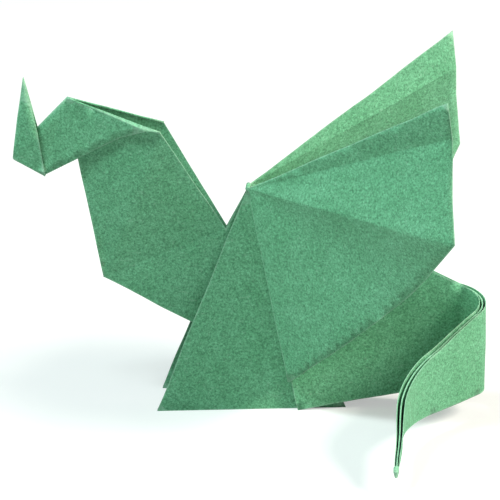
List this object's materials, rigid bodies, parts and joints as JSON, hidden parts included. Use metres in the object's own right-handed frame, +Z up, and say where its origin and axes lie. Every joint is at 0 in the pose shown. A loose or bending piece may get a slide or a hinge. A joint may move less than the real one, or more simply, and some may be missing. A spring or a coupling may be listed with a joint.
{
  "type": "origami dragon",
  "caption": "dragon folded from a square sheet of mottled green paper, standing on splayed legs, with pleated wings and a curled tail",
  "frame": {"origin": "on the surface it stands on, under the middle of its overall length and width", "axes": "+X from the snout towards the tail, +Y to the dragon's own right, away from the side that the tail curls to, +Z up"},
  "size_m": [0.1056, 0.0952, 0.0788],
  "materials": {
    "paper": "mottled green craft paper, matt with a faint sheen, paler on worn folds and cut edges"
  },
  "bodies": {
    "root": {"folded_sheet": "paper"}
  },
  "joints": []
}
